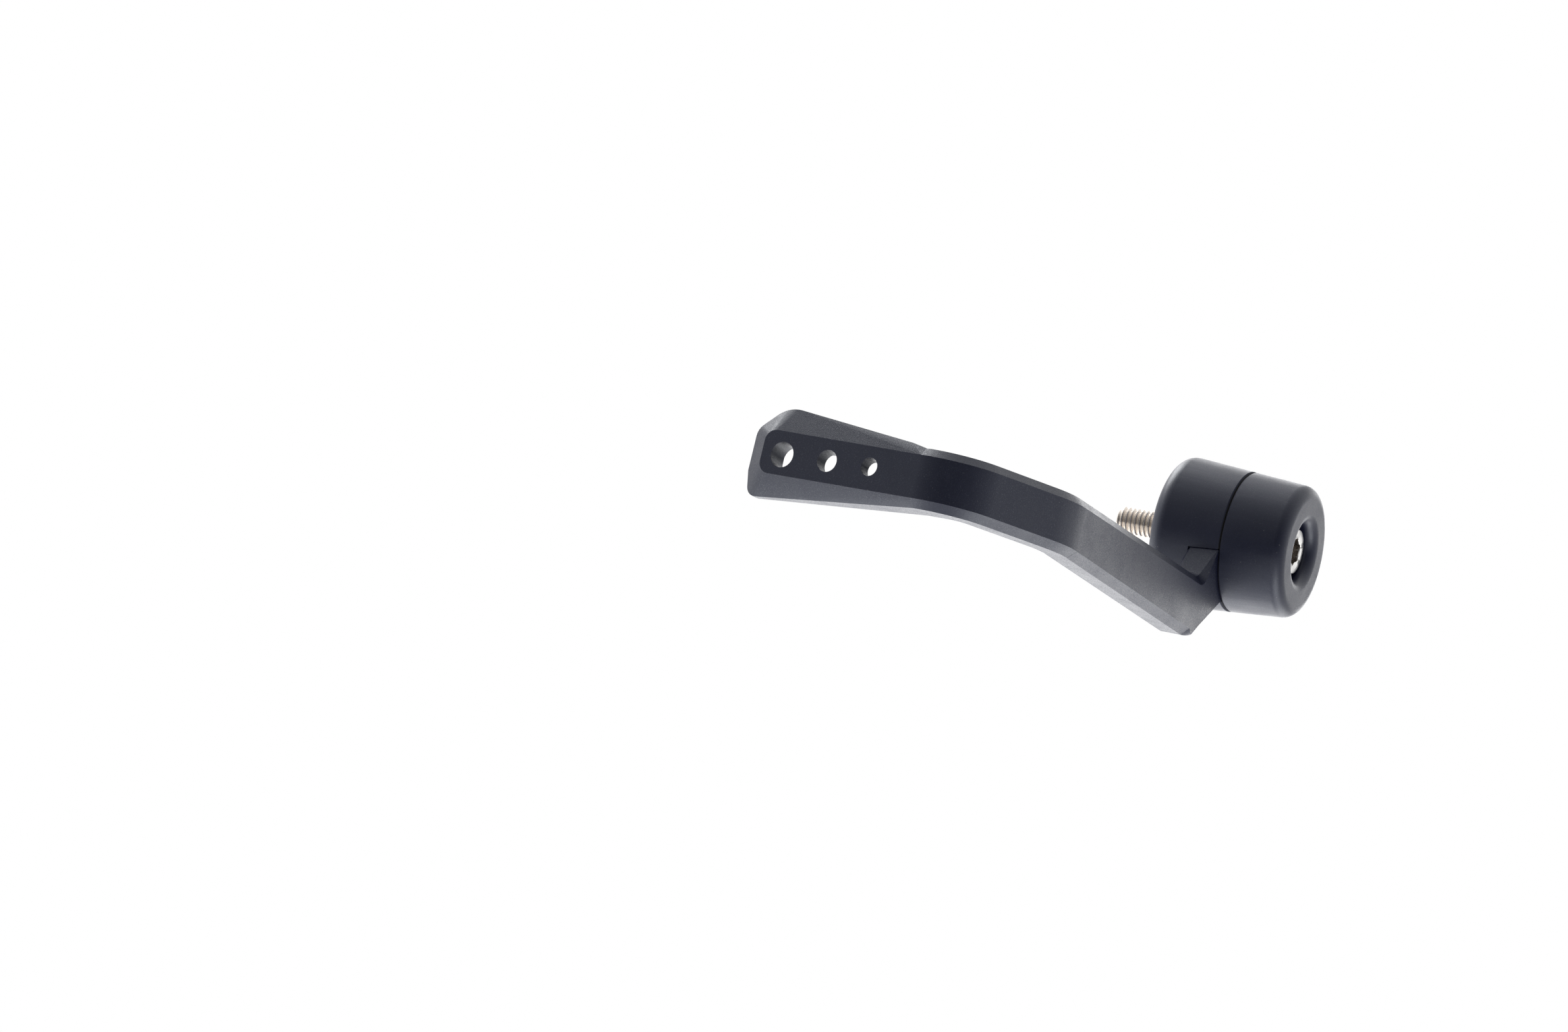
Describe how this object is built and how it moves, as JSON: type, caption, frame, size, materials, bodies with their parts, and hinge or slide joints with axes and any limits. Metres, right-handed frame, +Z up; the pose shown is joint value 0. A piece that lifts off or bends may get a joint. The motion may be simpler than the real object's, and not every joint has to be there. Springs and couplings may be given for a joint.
{
  "type": "brake lever guard",
  "caption": "Bar-end lever guard: a bevelled arm with a drilled front plate, clamped by a sunk screw between two tapered round bar-end weights.",
  "frame": {"origin": "centre of the round inner face that seats on the end of the handlebar", "axes": "+X outboard along the clamp screw, away from the handlebar; -Y forward along the guard arm; +Z up"},
  "size_m": [0.069, 0.1473, 0.0383],
  "materials": {
    "weight_black": "satin black anodised",
    "arm_black": "satin black anodised",
    "screw_steel": "plain stainless"
  },
  "bodies": {
    "root": {"inner_weight": "weight_black", "guard_arm": "arm_black", "outer_weight": "weight_black", "clamp_screw": "screw_steel"}
  },
  "joints": []
}
